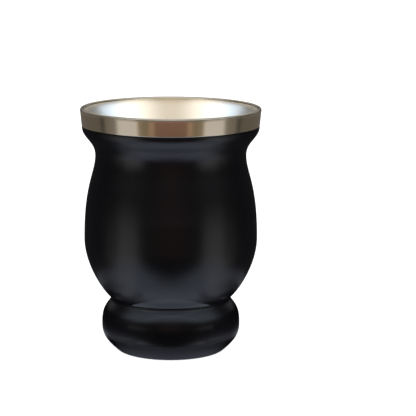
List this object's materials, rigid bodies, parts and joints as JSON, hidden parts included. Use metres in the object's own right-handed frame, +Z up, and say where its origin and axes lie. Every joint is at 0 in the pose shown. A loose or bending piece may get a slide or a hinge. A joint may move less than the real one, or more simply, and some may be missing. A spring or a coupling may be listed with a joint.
{
  "type": "stainless steel mate cup",
  "caption": "Empty gourd-shaped steel mate cup with a satin black coated body on a bulging foot, a bare steel rim band, a rounded lip and a steel drinking bowl.",
  "frame": {"origin": "centre of the base, on the surface that the cup stands on", "axes": "+Z up along the cup's axis of turning; the cup is round, so +X and +Y are any two directions square to it"},
  "size_m": [0.078, 0.078, 0.106],
  "materials": {
    "black_coat": "satin black powder coat with a faint fine grain",
    "band_steel": "bare stainless steel, brushed round the band",
    "bowl_steel": "bare stainless steel, spun satin, brighter on the rounded lip"
  },
  "bodies": {
    "root": {"coated_body": "black_coat", "rim_band": "band_steel", "inner_cup": "bowl_steel"}
  },
  "joints": []
}
